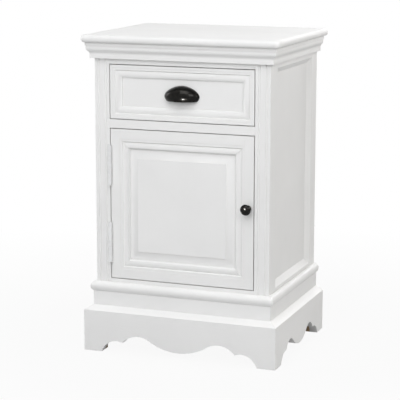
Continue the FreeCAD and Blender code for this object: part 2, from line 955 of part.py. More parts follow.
def door_rail(edge, toward):
    """A door rail from its outer edge inwards, mitred to the stiles, and its right-hand tenon."""
    flat_x = leaf_x - size.door_flat_width
    inside_x = leaf_x - door_frame_width
    flat_z = edge + size.door_flat_width * toward
    inside_z = edge + door_frame_width * toward

    def spot(across, depth, *bow):
        return (front_y + depth, edge + Size.of(across) * toward, *[rise * -toward for rise in bow])

    body = prism("YZ", (-flat_x, flat_x), door_profile(spot))
    right = [(flat_x, flat_z), (flat_x, inside_z), (inside_x, inside_z)]
    left = [(-x, z) for x, z in right]
    pocket(body, "XZ", right, left)
    shoulder = size.tenon_shoulder
    near = edge + shoulder * toward
    far = flat_z - shoulder * toward
    tenon_z = (near, far) if toward > 0 else (far, near)
    tenon_y = (front_y + shoulder, front_y + size.door_thickness - shoulder)
    tenon = block((flat_x, flat_x + size.tenon_length), tenon_y, tenon_z)
    return fuse(body, tenon, mirrored(tenon)), tenon


def door_panel():
    """The raised and fielded panel: a tongue all round, a coved border and a flat field."""
    tongue = door_frame_width - size.groove_depth + size.panel_play
    foot = door_frame_width + size.field_margin
    field = foot + size.field_cove_run
    level = size.door_groove_level
    crest = level - size.field_cove_height
    middle = level + size.panel_thickness / 2
    back = level + size.panel_thickness
    board = leaf_plate(leaf_bottom, leaf_top, tongue, (front_y + level, front_y + back))
    cove = swept_border(leaf_bottom, leaf_top, [
        (foot, middle),
        (foot, level),
        (field, crest, size.field_cove_rise),
        (field, middle),
    ])
    raised_y = (front_y + crest - size.field_step, front_y + middle)
    raised = leaf_plate(leaf_bottom, leaf_top, field, raised_y)
    piece("door_panel", fuse(board, cove, raised))


def knob_place():
    middle = (leaf_bottom + leaf_top) / 2
    return leaf_x - size.knob_edge_distance, front_y, middle + size.knob_lift


def knob_screw(grow):
    x, y, z = knob_place()
    return machine_screw((x, y + size.door_thickness, z), size.door_thickness + size.screw_bite, grow)


def door_knob():
    """The turned knob: rosette, neck and domed head."""
    neck_end = size.rosette_height + size.neck_length
    crown = size.knob_length - size.head_edge_height
    corners = [
        (0, 0),
        (0, size.rosette_radius),
        (-size.rosette_height, size.rosette_radius),
        (-size.rosette_height, size.neck_radius),
        (-neck_end, size.neck_radius),
    ]
    for along, out in KNOB_SHARES:
        corners.append((-size.head_edge_height - crown * along, size.head_radius * out))
    piece("door_knob", cut(turned("Y", corners, knob_place()), knob_screw(size.screw_gap)))
    piece("knob_screw", knob_screw(Size.of(0)))


def door():
    """Stiles, rails and panel of the inset door, with its knob."""
    top_rail, top_tenon = door_rail(leaf_top, -1)
    bottom_rail, bottom_tenon = door_rail(leaf_bottom, 1)
    stile = cut(door_stile(), top_tenon, bottom_tenon)
    right = cut(stile, knob_screw(size.screw_gap))
    pair("door_stile", right, cut(mirrored(stile), *hinge_seats(1)))
    piece("door_rail_top", top_rail)
    piece("door_rail_bottom", bottom_rail)
    door_panel()
    door_knob()


# Hinges and catch


def hinge_levels():
    """Lower ends of the two hinges."""
    inset = (leaf_top - leaf_bottom) * HINGE_SHARE
    half = size.hinge_length / 2
    return {"upper": leaf_top - inset - half, "lower": leaf_bottom + inset - half}


def leaf_span(side):
    """Thickness of a hinge leaf on X: side 1 is let into the door, side -1 into the post."""
    if side > 0:
        return -leaf_x, -leaf_x + size.leaf_thickness
    return -opening_x - size.leaf_thickness, -opening_x


def leaf_screws(level, side, grow):
    """Shanks of the three screws that go through a hinge leaf into the wood behind it."""
    radius = size.wood_screw_radius + grow
    mouth = -leaf_x if side > 0 else -opening_x
    tip = size.wood_screw_length * side
    corners = [(0, 0), (0, radius), (tip, radius), (tip, 0)]
    middle = level + size.hinge_length / 2
    place_y = front_y + size.wood_screw_inset
    screws = []
    for step in (-1, 0, 1):
        screws.append(turned("X", corners, (mouth, place_y, middle + size.wood_screw_spacing * step)))
    return screws


def hinge_seats(side):
    """Recesses and pilot holes for both hinges in the door stile or the post."""
    tools = []
    for level in hinge_levels().values():
        y = (front_y - size.cut_overrun, front_y + size.leaf_width)
        tools.append(block(leaf_span(side), y, (level, level + size.hinge_length)))
        tools.extend(leaf_screws(level, side, size.screw_gap))
    return tools


def hinge_leaf(level, side, knuckles):
    """A leaf with its own knuckles and flush screws, cleared round the other leaf's knuckles."""
    axis_x = -(leaf_x + opening_x) / 2
    axis_y = front_y - size.knuckle_stand_off
    pitch = size.hinge_length / KNUCKLES
    ease = size.knuckle_gap / 2
    wide = size.knuckle_radius + size.cut_overrun
    top = level + size.hinge_length
    plate = block(leaf_span(side), (axis_y, front_y + size.leaf_width), (level, top))
    rods = []
    gaps = []
    for number in range(KNUCKLES):
        low = level + pitch * number
        high = low + pitch
        if number in knuckles:
            low = low + ease if number else low
            high = high - ease if number < KNUCKLES - 1 else high
            rods.append(upright_rod(axis_x, axis_y, (low, high), size.knuckle_radius))
        else:
            room_y = (axis_y - wide, front_y)
            gaps.append(block((axis_x - wide, axis_x + wide), room_y, (low - ease, high + ease)))
    over = size.cut_overrun
    bore = upright_rod(axis_x, axis_y, (level - over, top + over), size.pin_radius + size.pin_gap)
    return cut(fuse(cut(plate, *gaps), *rods, *leaf_screws(level, side, 0)), bore)


def hinge_pin(level):
    """A hinge pin with a flat head on the top knuckle."""
    axis_x = -(leaf_x + opening_x) / 2
    axis_y = front_y - size.knuckle_stand_off
    top = level + size.hinge_length
    shaft = upright_rod(axis_x, axis_y, (level, top), size.pin_radius)
    head = upright_rod(axis_x, axis_y, (top, top + size.pin_head_height), size.pin_head_radius)
    return fuse(shaft, head)


def hinges():
    """Two five-knuckle butt hinges with their pins."""
    door_knuckles = range(0, KNUCKLES, 2)
    post_knuckles = range(1, KNUCKLES, 2)
    for name, level in hinge_levels().items():
        piece(f"hinge_leaf_door_{name}", hinge_leaf(level, 1, door_knuckles))
        piece(f"hinge_leaf_cabinet_{name}", hinge_leaf(level, -1, post_knuckles))
        piece(f"hinge_pin_{name}", hinge_pin(level))


def catch():
    """The magnetic catch under the middle rail, and its strike plate on the door."""
    back = front_y + size.door_thickness
    start = back + size.strike_thickness + size.running_gap
    middle = opening_x - size.catch_edge_distance - size.catch_width / 2
    y = (start, start + size.catch_depth)
    half = size.catch_block_width / 2
    ear = size.catch_width / 2
    body = block((middle - half, middle + half), y, (door_head - size.catch_height, door_head))
    flange = block((middle - ear, middle + ear), y, (door_head - size.catch_flange_height, door_head))
    piece("magnetic_catch", fuse(body, flange))
    wide = size.strike_width / 2
    strike_x = (middle - wide, middle + wide)
    strike_z = (leaf_top - size.strike_height, leaf_top)
    piece("strike_plate", block(strike_x, (back, back + size.strike_thickness), strike_z))


def check_and_export():
    """Stop at any failed object or unsound solid, then write every piece."""
    doc.recompute()
    for thing in doc.Objects:
        if {"Invalid", "Error"} & set(thing.State):
            raise RuntimeError(f"{thing.Name} ({thing.Label}) failed: {thing.State}")
    for label, solid in pieces.items():
        if solid.Shape.isNull() or not solid.Shape.isValid() or not solid.Shape.Solids:
            raise RuntimeError(f"{label} has no sound solid")
    os.makedirs("parts", exist_ok=True)
    for label, solid in pieces.items():
        solid.Shape.exportStep(f"parts/{label}.step")


top_board()
cornice()
base_moulding()
plinth()
frame()
drawer_guides()
drawer_box()
cup_pull()
door()
hinges()
catch()
check_and_export()
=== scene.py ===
import json
import math

import bmesh
import bpy
from mathutils import Matrix, Vector

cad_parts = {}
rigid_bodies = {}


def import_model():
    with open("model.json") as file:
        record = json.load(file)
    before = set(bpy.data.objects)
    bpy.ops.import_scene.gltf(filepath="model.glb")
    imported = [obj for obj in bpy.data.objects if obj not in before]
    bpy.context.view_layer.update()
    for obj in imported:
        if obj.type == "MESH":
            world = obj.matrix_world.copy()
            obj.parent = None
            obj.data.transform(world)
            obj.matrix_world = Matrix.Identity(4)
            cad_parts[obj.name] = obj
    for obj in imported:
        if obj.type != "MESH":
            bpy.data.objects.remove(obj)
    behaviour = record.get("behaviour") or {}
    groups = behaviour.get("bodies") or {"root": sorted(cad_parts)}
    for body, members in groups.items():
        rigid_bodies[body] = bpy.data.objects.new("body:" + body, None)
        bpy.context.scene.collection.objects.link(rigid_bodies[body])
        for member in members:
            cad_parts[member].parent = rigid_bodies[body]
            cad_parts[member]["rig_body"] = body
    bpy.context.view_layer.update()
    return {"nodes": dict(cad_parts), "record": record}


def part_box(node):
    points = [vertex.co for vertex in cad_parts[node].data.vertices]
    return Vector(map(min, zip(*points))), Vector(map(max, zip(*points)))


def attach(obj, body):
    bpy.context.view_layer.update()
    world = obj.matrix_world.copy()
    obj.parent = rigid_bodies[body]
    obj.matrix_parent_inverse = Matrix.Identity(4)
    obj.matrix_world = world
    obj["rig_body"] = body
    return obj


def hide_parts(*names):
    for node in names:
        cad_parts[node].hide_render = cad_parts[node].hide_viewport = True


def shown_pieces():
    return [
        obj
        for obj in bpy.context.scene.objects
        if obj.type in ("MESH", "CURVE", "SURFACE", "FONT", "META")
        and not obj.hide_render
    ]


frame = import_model()
nodes = frame["nodes"]

MM = 0.001
AXES = "XYZ"
UP = (0, 0, 1)
DOWN = (0, 0, -1)
RIGHT = (1, 0, 0)
FORWARD = (0, -1, 0)
BACKWARD = (0, 1, 0)

# Softened edges by kind of piece
SMOOTH_MERGE = 0.01 * MM
FLAT_ANGLE = math.radians(1)
EDGE_ANGLE = math.radians(35)
EDGE_SEGMENTS = 2
JOINERY_EDGE = 0.25 * MM
MOULDING_EDGE = 0.3 * MM
RAW_EDGE = 0.5 * MM
METAL_EDGE = 0.2 * MM
LARGE_FACE_WEIGHT = 100

# How the names of the moulded pieces start
MOULDED = (
    "top_board", "cornice", "base_moulding", "plinth_front", "plinth_left", "plinth_right",
    "drawer_front",
)

# Cup pull, with its steps across and around
PULL_WALL = 1.8 * MM
PULL_SKIRT = 10 * MM
PULL_FULLNESS = 1.75
PULL_STEPS = (56, 24)
PULL_RIM = 0.55 * MM
BOSS_RADIUS = 4.5 * MM
BOSS_DROP = 1.0 * MM

# Turned knob: shares of its length and radius, from the rosette to the crown
KNOB_PROFILE = (
    (0, 0), (0, 0.6), (0.02, 0.625), (0.085, 0.625), (0.105, 0.59), (0.115, 0.44),
    (0.17, 0.37), (0.34, 0.36), (0.45, 0.46), (0.55, 0.72), (0.62, 0.93), (0.69, 1),
    (0.76, 0.985), (0.87, 0.82), (0.96, 0.48), (1, 0.16), (1, 0),
)
KNOB_SEGMENTS = 48
KNOB_SMOOTHING = 2

# Screw heads and other small turned forms
TURN_SEGMENTS = 32
CROSS_WIDTH_SHARE = 0.17
CROSS_REACH_SHARE = 0.62
CROSS_DEPTH_SHARE = 0.25
CROSS_TAPER = 0.5
GROOVE_WIDTH = 0.25 * MM
GROOVE_DEPTH = 0.25 * MM
CUT_OVERRUN = 0.4 * MM
HINGE_REVEAL = 1.75 * MM
HINGE_SCREW_SPACING = 29 * MM
HINGE_SCREW_INSET = 6 * MM
HINGE_SCREW_HEAD = 3 * MM
MACHINE_SCREW_HEAD = 4 * MM
SMALL_SCREW_HEAD = 2.2 * MM

# Magnetic catch
CATCH_EAR = 8 * MM
CATCH_FLANGE = 2.5 * MM
POLE_HEIGHT = 1.6 * MM
POLE_MARGIN = 2 * MM
POLE_PROUD = 0.2 * MM
POLE_DEPTH = 4 * MM

# Colours of each material
PAINT = {
    "deep": (0.83, 0.832, 0.832, 1),
    "pale": (0.864, 0.866, 0.866, 1),
    "streak": (0.798, 0.797, 0.793, 1),
    "worn": (0.7, 0.66, 0.58, 1),
    # grey of the painted shade in the paint's creases and corners
    "paint_shade": (0.6, 0.58, 0.55, 1),
}
WOOD = {
    "early": (0.74, 0.59, 0.42, 1),
    "late": (0.6, 0.43, 0.27, 1),
    "fibre": (0.47, 0.33, 0.2, 1),
    "blotch": (0.66, 0.5, 0.33, 1),
    "handled": (0.42, 0.3, 0.19, 1),
}
BRONZE = {
    "dark": (0.004, 0.004, 0.0038, 1),
    "cloud": (0.016, 0.0145, 0.0125, 1),
    "fleck": (0.05, 0.044, 0.035, 1),
    "rubbed": (0.11, 0.082, 0.05, 1),
}
STEEL = {
    "dull": (0.7, 0.705, 0.71, 1),
    "bright": (0.78, 0.785, 0.79, 1),
    "worn": (0.82, 0.815, 0.805, 1),
    # dark grey of the painted shade in the steel's crevices
    "steel_shade": (0.3, 0.29, 0.28, 1),
}
PLASTIC = {
    "deep": (0.77, 0.75, 0.7, 1),
    "pale": (0.82, 0.805, 0.765, 1),
    # grey of the painted shade in the plastic's corners
    "plastic_shade": (0.45, 0.42, 0.37, 1),
}

# Wear on edges and painted shade in creases: rays per spot, and how open a spot is where the
# painted shade is full and where it is gone
WEAR_AND_SHADE_SAMPLES = 6
CREVICE_FULL = 0.25
CREVICE_CLEAR = 0.75

# Camera, fitted to the photograph
CAMERA_PLACE = (1.17455, -3.14903, 0.97104)
CAMERA_TURN = (math.pi / 2 - 0.190676, -0.00072, 0.36142)
CAMERA_LENS = 137.16
SENSOR_WIDTH = 36

# Studio
WHITE = (1, 1, 1, 1)
NEUTRAL = (1, 1, 1)
WARM = (1, 0.975, 0.935)
AMBIENT = 0.093
FLOOR_HALF = 30
FLOOR_DROP = 0.2 * MM
FLOOR_PALE = (0.42, 0.42, 0.42, 1)
# Share of white that the camera sees over the floor, near the object and far from it
FLOOR_VEIL = (0.93, 1.0)
FLOOR_FADE = (0.4, 1.3)

# Softboxes: place, aim, size, power and colour
LAMPS = {
    "key": ((0.3, -3.0, 4.8), (0, -0.1, 0.4), 3.0, 86, NEUTRAL),
    "above": ((0, 1.0, 4.6), (0, 0, 0.6), 2.0, 18, NEUTRAL),
    "front": ((-0.2, -2.4, 1.5), (0, -0.1, 0.6), 1.5, 24, NEUTRAL),
    "low": ((0.2, -2.6, 0.3), (0, 0, 0.5), 1.0, 2.0, NEUTRAL),
    "front_right": ((2.4, -2.8, 2.4), (0, 0, 0.45), 1.6, 34, NEUTRAL),
    "right": ((3.5, 0.05, 2.2), (0, 0, 0.45), 1.6, 52, WARM),
    "left": ((-3.3, 0.3, 1.5), (0, 0, 0.4), 1.6, 45, NEUTRAL),
    "back": ((0.3, 3.8, 1.3), (0, 0, 0.4), 2.0, 40, NEUTRAL),
}
# Softboxes whose squares would show in the pull
UNMIRRORED = ("front", "low")
# Small softboxes turned on the dark metal alone
GLINTS = {
    "cup_pull_shell": ((0.06, -0.95, 0.24), (0.05, -0.17, 0.5), 0.14, 7, NEUTRAL),
    "door_knob_turned": ((-0.05, -1.04, 0.56), (0.14, -0.18, 0.34), 0.2, 22, NEUTRAL),
}


class Material:
    """A Principled material with short calls for the nodes that feed it."""

    def __init__(self, name, **sockets):
        self.block = bpy.data.materials.new(name)
        self.block.use_nodes = True
        self.tree = self.block.node_tree
        self.shader = self.tree.nodes["Principled BSDF"]
        for socket, value in sockets.items():
            self.shader.inputs[socket.replace("_", " ")].default_value = value
        self.place = self.add("ShaderNodeTexCoord").outputs["Object"]
        self.normal = None

    def add(self, kind, inputs=None, **settings):
        """A new node, fed with values or with the outputs of other nodes."""
        node = self.tree.nodes.new(kind)
        for key, value in settings.items():
            setattr(node, key, value)
        for socket, value in (inputs or {}).items():
            self.feed(node.inputs[socket], value)
        return node

    def feed(self, socket, value):
        """Link an output to a socket, or set the socket to a value."""
        if isinstance(value, bpy.types.NodeSocket):
            self.tree.links.new(value, socket)
        else:
            socket.default_value = value

    def noise(self, scale, detail=3, roughness=0.5, stretch=(1, 1, 1), distortion=0):
        """Noise in metres of the piece's own frame, drawn out where stretch is small."""
        spot = self.add("ShaderNodeMapping", {"Vector": self.place, "Scale": stretch})
        inputs = {
            "Vector": spot.outputs["Vector"], "Scale": scale, "Detail": detail,
            "Roughness": roughness, "Distortion": distortion,
        }
        return self.add("ShaderNodeTexNoise", inputs).outputs["Fac"]

    def span(self, value, low=0, high=1, start=0, end=1):
        """A value carried from start..end to low..high."""
        inputs = {
            "Value": value, "From Min": start, "From Max": end, "To Min": low, "To Max": high,
        }
        return self.add("ShaderNodeMapRange", inputs).outputs["Result"]

    def times(self, first, second):
        """The product of two values."""
        node = self.add("ShaderNodeMath", {0: first, 1: second}, operation="MULTIPLY")
        return node.outputs["Value"]

    def mix(self, share, first, second):
        """The first colour, with a share of the second laid over it."""
        node = self.add("ShaderNodeMix", {"Factor": share}, data_type="RGBA")
        colours = [socket for socket in node.inputs if socket.type == "RGBA"]
        for socket, colour in zip(colours, (first, second)):
            self.feed(socket, colour)
        return next(socket for socket in node.outputs if socket.type == "RGBA")

    def edges(self, radius, start, end):
        """How far a spot lies on an edge of the piece, from 0 to 1."""
        rounded = self.add("ShaderNodeBevel", {"Radius": radius}, samples=WEAR_AND_SHADE_SAMPLES)
        flat = self.add("ShaderNodeNewGeometry")
        inputs = {0: rounded.outputs["Normal"], 1: flat.outputs["Normal"]}
        dot = self.add("ShaderNodeVectorMath", inputs, operation="DOT_PRODUCT")
        return self.span(dot.outputs["Value"], start=start, end=end)

    def crevices(self, distance, clear=CREVICE_CLEAR):
        """How deep a spot lies in the shade of a quirk or corner, from 0 to 1, by ambient
        occlusion; it sets where painted shade goes.
        """
        inputs = {"Distance": distance}
        open_air = self.add("ShaderNodeAmbientOcclusion", inputs, samples=WEAR_AND_SHADE_SAMPLES)
        return self.span(open_air.outputs["AO"], low=1, high=0, start=CREVICE_FULL, end=clear)

    def bump(self, height, strength, distance):
        """Lay relief over the relief that is there already."""
        inputs = {"Height": height, "Strength": strength, "Distance": distance}
        if self.normal:
            inputs["Normal"] = self.normal
        self.normal = self.add("ShaderNodeBump", inputs).outputs["Normal"]
        self.feed(self.shader.inputs["Normal"], self.normal)

    def finish(self, colour, roughness):
        """The material, with its colour and roughness linked."""
        self.feed(self.shader.inputs["Base Color"], colour)
        self.feed(self.shader.inputs["Roughness"], roughness)
        return self.block


def drawn_along(axis, along):
    """Stretch that draws a noise out along one axis."""
    return tuple(along if letter == axis else 1 for letter in AXES)


def white_paint(axis):
    """Satin white paint brushed along one axis over closed grain, with painted shade in its
    creases and corners.
    """
    paint = Material(f"white_paint_{axis.lower()}", Specular_IOR_Level=0.38)
    tone = paint.noise(scale=7, detail=4, roughness=0.55)
    streaks = paint.noise(scale=620, detail=4, roughness=0.6, stretch=drawn_along(axis, 0.03))
    peel = paint.noise(scale=2600, detail=2)
    patches = paint.noise(scale=95, detail=4, roughness=0.7)
    sheen = paint.noise(scale=24, roughness=0.6, stretch=drawn_along(axis, 0.2))
    body = paint.mix(paint.span(tone, start=0.3, end=0.7), PAINT["deep"], PAINT["pale"])
    strokes = paint.span(streaks, high=0.15, start=0.45, end=0.75)
    brushed = paint.mix(strokes, body, PAINT["streak"])
    rubbed = paint.edges(1.2 * MM, start=0.97, end=0.8)
    worn = paint.times(rubbed, paint.span(patches, high=0.5, start=0.52, end=0.68))
    thin = paint.mix(worn, brushed, PAINT["worn"])
    # painted shade: the paint is darkened towards a grey where ambient occlusion finds creases,
    # quirks and corners
    crease_shade_share = paint.times(paint.crevices(5 * MM, clear=0.95), 0.36)
    shaded_paint = paint.mix(crease_shade_share, thin, PAINT["paint_shade"])
    paint.bump(streaks, strength=0.05, distance=0.1 * MM)
    paint.bump(peel, strength=0.05, distance=0.05 * MM)
    return paint.finish(shaded_paint, paint.span(sheen, low=0.4, high=0.56))


def bare_wood(axis):
    """Unpainted pine with its growth rings and fibres along one axis."""
    wood = Material(f"bare_wood_{axis.lower()}", Specular_IOR_Level=0.3)
    rings = wood.noise(scale=42, stretch=drawn_along(axis, 0.05), distortion=0.8)
    fibres = wood.noise(scale=700, roughness=0.6, stretch=drawn_along(axis, 0.02))
    blotches = wood.noise(scale=11, detail=4, roughness=0.6)
    ground = wood.mix(wood.span(rings, start=0.42, end=0.62), WOOD["early"], WOOD["late"])
    strands = wood.span(fibres, high=0.5, start=0.45, end=0.8)
    shaded = wood.mix(strands, ground, WOOD["fibre"])
    clouds = wood.span(blotches, high=0.3, start=0.5, end=0.75)
    aged = wood.mix(clouds, shaded, WOOD["blotch"])
    touched = wood.times(wood.edges(1.5 * MM, start=0.97, end=0.8), 0.3)
    handled = wood.mix(touched, aged, WOOD["handled"])
    wood.bump(fibres, strength=0.25, distance=0.2 * MM)
    wood.bump(rings, strength=0.1, distance=0.2 * MM)
    return wood.finish(handled, wood.span(fibres, low=0.52, high=0.72))


def dark_bronze():
    """Dark lacquered bronze, cloudy, with rubbed edges."""
    bronze = Material("dark_bronze", Metallic=1, Coat_Weight=0.18, Coat_Roughness=0.06)
    clouds = bronze.noise(scale=180, detail=4, roughness=0.6)
    specks = bronze.noise(scale=1500, detail=2)
    shades = bronze.span(clouds, start=0.35, end=0.7)
    ground = bronze.mix(shades, BRONZE["dark"], BRONZE["cloud"])
    flecks = bronze.span(specks, high=0.3, start=0.6, end=0.8)
    flecked = bronze.mix(flecks, ground, BRONZE["fleck"])
    bared = bronze.edges(0.9 * MM, start=0.96, end=0.75)
    worn = bronze.times(bared, bronze.span(clouds, low=0.2, high=0.8))
    rubbed = bronze.mix(worn, flecked, BRONZE["rubbed"])
    bronze.bump(specks, strength=0.08, distance=0.06 * MM)
    return bronze.finish(rubbed, bronze.span(clouds, low=0.17, high=0.3))


def satin_steel():
    """Nickel-plated steel with a fine brushed grain, dull edges and painted shade in its crevices.
    """
    steel = Material("satin_steel", Metallic=1)
    brushed = steel.noise(scale=1600, roughness=0.6, stretch=drawn_along("Z", 0.03))
    clouds = steel.noise(scale=130)
    shades = steel.span(clouds, start=0.3, end=0.7)
    ground = steel.mix(shades, STEEL["dull"], STEEL["bright"])
    worn = steel.mix(steel.edges(0.5 * MM, start=0.97, end=0.75), ground, STEEL["worn"])
    # painted shade: the steel is darkened where ambient occlusion finds crevices
    crease_shade_share = steel.times(steel.crevices(1 * MM), 0.35)
    shaded_steel = steel.mix(crease_shade_share, worn, STEEL["steel_shade"])
    steel.bump(brushed, strength=0.12, distance=0.05 * MM)
    return steel.finish(shaded_steel, steel.span(brushed, low=0.24, high=0.42))


def catch_plastic():
    """Moulded off-white plastic with a fine spark-eroded grain and painted shade in its corners.
    """
    plastic = Material("catch_plastic", Specular_IOR_Level=0.4)
    grain = plastic.noise(scale=2200, roughness=0.6)
    tone = plastic.noise(scale=60)
    shades = plastic.span(tone, start=0.3, end=0.7)
    ground = plastic.mix(shades, PLASTIC["deep"], PLASTIC["pale"])
    # painted shade: the plastic is darkened where ambient occlusion finds corners
    crease_shade_share = plastic.times(plastic.crevices(2 * MM), 0.4)
    shaded_plastic = plastic.mix(crease_shade_share, ground, PLASTIC["plastic_shade"])
    plastic.bump(grain, strength=0.2, distance=0.06 * MM)
    return plastic.finish(shaded_plastic, plastic.span(grain, low=0.45, high=0.62))


GRAINED = {"white_paint": white_paint, "bare_wood": bare_wood}
PLAIN = {"dark_bronze": dark_bronze, "steel": satin_steel, "catch_plastic": catch_plastic}
made_materials = {}
slots = {row["node"]: row["material_slot"] for row in frame["record"]["subparts"]}


def longest_axis(node):
    """The letter of the axis along which a node is longest."""
    low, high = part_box(node)
    reach = high - low
    return AXES[max(range(3), key=lambda index: reach[index])]


def finish_material(slot, node):
    """The material of one node, made when it is first asked for."""
    axis = longest_axis(node)
    name = f"{slot}_{axis.lower()}" if slot in GRAINED else slot
    if name not in made_materials:
        made_materials[name] = GRAINED[slot](axis) if slot in GRAINED else PLAIN[slot]()
    return made_materials[name]


def edge_width(node):
    """How far the edges of a node are softened."""
    if slots[node] == "bare_wood":
        return RAW_EDGE
    if slots[node] == "white_paint":
        return MOULDING_EDGE if node.startswith(MOULDED) else JOINERY_EDGE
    return METAL_EDGE


def add_modifier(piece, kind, **settings):
    """Put a modifier with its settings at the end of a piece's list."""
    modifier = piece.modifiers.new(kind.title(), kind)
    for key, value in settings.items():
        setattr(modifier, key, value)


def soften(piece, width):
    """Round the sharp edges of a piece."""
    add_modifier(
        piece, "BEVEL",
        width=width, segments=EDGE_SEGMENTS, limit_method="ANGLE", angle_limit=EDGE_ANGLE,
    )


def dress_nodes():
    """Give every carried-over node its material and softened edges."""
    for node, piece in nodes.items():
        piece.material_slots[0].material = finish_material(slots[node], node)
        add_modifier(piece, "WELD", merge_threshold=SMOOTH_MERGE)
        add_modifier(piece, "DECIMATE", decimate_type="DISSOLVE", angle_limit=FLAT_ANGLE)
        soften(piece, edge_width(node))


def new_piece(name, builder, slot, body, replaced=()):
    """Link a mesh as a piece that rides on a body and takes a slot's finish, if it has one."""
    mesh = bpy.data.meshes.new(name)
    bmesh.ops.recalc_face_normals(builder, faces=builder.faces)
    builder.to_mesh(mesh)
    builder.free()
    for face in mesh.polygons:
        face.use_smooth = True
    piece = bpy.data.objects.new(name, mesh)
    bpy.context.scene.collection.objects.link(piece)
    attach(piece, body)
    if replaced:
        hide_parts(*replaced)
    if slot:
        mesh.materials.append(made_materials[slot])
    return piece


def lathe(builder, profile, place, axis, segments=TURN_SEGMENTS):
    """Turn a profile of (distance along the axis, radius) into a closed round form."""
    turn = Vector(UP).rotation_difference(Vector(axis)).to_matrix()
    rings = []
    for along, radius in profile:
        ring = []
        for step in range(segments if radius else 1):
            angle = 2 * math.pi * step / segments
            spot = Vector((radius * math.cos(angle), radius * math.sin(angle), along))
            ring.append(builder.verts.new(Vector(place) + turn @ spot))
        rings.append(ring)
    for first, second in zip(rings, rings[1:]):
        for step in range(segments):
            after = (step + 1) % segments
            corners = [first[step % len(first)], first[after % len(first)]]
            corners += [second[after % len(second)], second[step % len(second)]]
            builder.faces.new(dict.fromkeys(corners))


def dome_reach(radius, share):
    """How far the pull's dome stands out at a share of its half width."""
    return radius * max(0, 1 - abs(share) ** PULL_FULLNESS) ** (1 / PULL_FULLNESS)


def dome_sheet(builder, centre, half_width, radius):
    """One skin of the cup pull, as rows of vertices from end to end."""
    across, around = PULL_STEPS
    rows = []
    for step in range(across + 1):
        share = -math.cos(math.pi * step / across)
        reach = dome_reach(radius, share)
        sweep = math.acos(-PULL_SKIRT / reach) if reach > PULL_SKIRT else math.pi
        row = []
        for turn in range(around + 1):
            angle = sweep * turn / around
            out, lift = reach * math.sin(angle), reach * math.cos(angle)
            row.append(builder.verts.new(centre + Vector((half_width * share, -out, lift))))
        rows.append(row)
    for row, after in zip(rows, rows[1:]):
        for turn in range(around):
            builder.faces.new((row[turn], row[turn + 1], after[turn + 1], after[turn]))
    return rows


def join_skins(builder, outer, inner):
    """Close the pull's rims and ends between its two skins."""
    across, around = PULL_STEPS
    for rim in (0, -1):
        for step in range(across):
            outside = (outer[step][rim], outer[step + 1][rim])
            builder.faces.new((*outside, inner[step + 1][rim], inner[step][rim]))
    for end in (0, -1):
        for turn in range(around):
            outside = (outer[end][turn], outer[end][turn + 1])
            builder.faces.new((*outside, inner[end][turn + 1], inner[end][turn]))


def cup_pull():
    """A thin cast dome with a rounded rim, open below, on two screw bosses."""
    low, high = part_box("cup_pull")
    radius = high.y - low.y
    half_width = (high.x - low.x) / 2
    centre = Vector(((low.x + high.x) / 2, high.y, high.z - radius))
    builder = bmesh.new()
    outer = dome_sheet(builder, centre, half_width, radius)
    inner = dome_sheet(builder, centre, half_width - PULL_WALL, radius - PULL_WALL)
    join_skins(builder, outer, inner)
    bmesh.ops.remove_doubles(builder, verts=builder.verts, dist=SMOOTH_MERGE)
    screw_low, screw_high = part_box("cup_pull_screws")
    middle_z = (screw_low.z + screw_high.z) / 2
    boss_x = screw_high.x - MACHINE_SCREW_HEAD
    reach = dome_reach(radius, boss_x / half_width)
    lift = middle_z - centre.z + BOSS_RADIUS
    length = math.sqrt(reach ** 2 - lift ** 2) - PULL_WALL - BOSS_DROP
    profile = [(0, 0), (0, BOSS_RADIUS), (length, BOSS_RADIUS), (length, 0)]
    for side in (-1, 1):
        lathe(builder, profile, (side * boss_x, high.y, middle_z), FORWARD)
    piece = new_piece("cup_pull_shell", builder, "dark_bronze", "drawer", ["cup_pull"])
    soften(piece, PULL_RIM)


def door_knob():
    """A turned knob: rosette, waisted neck and domed head."""
    low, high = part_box("door_knob")
    radius = (high.x - low.x) / 2
    length = high.y - low.y
    centre = ((low.x + high.x) / 2, high.y, (low.z + high.z) / 2)
    profile = [(along * length, out * radius) for along, out in KNOB_PROFILE]
    builder = bmesh.new()
    lathe(builder, profile, centre, FORWARD, KNOB_SEGMENTS)
    piece = new_piece("door_knob_turned", builder, "dark_bronze", "door", ["door_knob"])
    add_modifier(piece, "SUBSURF", levels=KNOB_SMOOTHING, render_levels=KNOB_SMOOTHING)


def tapered_prism(builder, outlines):
    """A closed prism between two outlines of the same number of corners."""
    top, bottom = [[builder.verts.new(spot) for spot in outline] for outline in outlines]
    builder.faces.new(top)
    builder.faces.new(list(reversed(bottom)))
    for index in range(len(top)):
        after = (index + 1) % len(top)
        builder.faces.new((top[index], bottom[index], bottom[after], top[after]))


def cross_outline(place, outward, reach, width, level):
    """A plus-shaped outline at a level above a screw head's face."""
    across = Vector(RIGHT if outward.z else UP)
    aside = outward.cross(across)
    quarter = [(width, reach), (width, width), (reach, width)]
    corners = []
    for turn in range(4):
        swing = Matrix.Rotation(-turn * math.pi / 2, 2)
        corners += [swing @ Vector(corner) for corner in quarter]
    return [place + outward * level + aside * corner.x + across * corner.y for corner in corners]


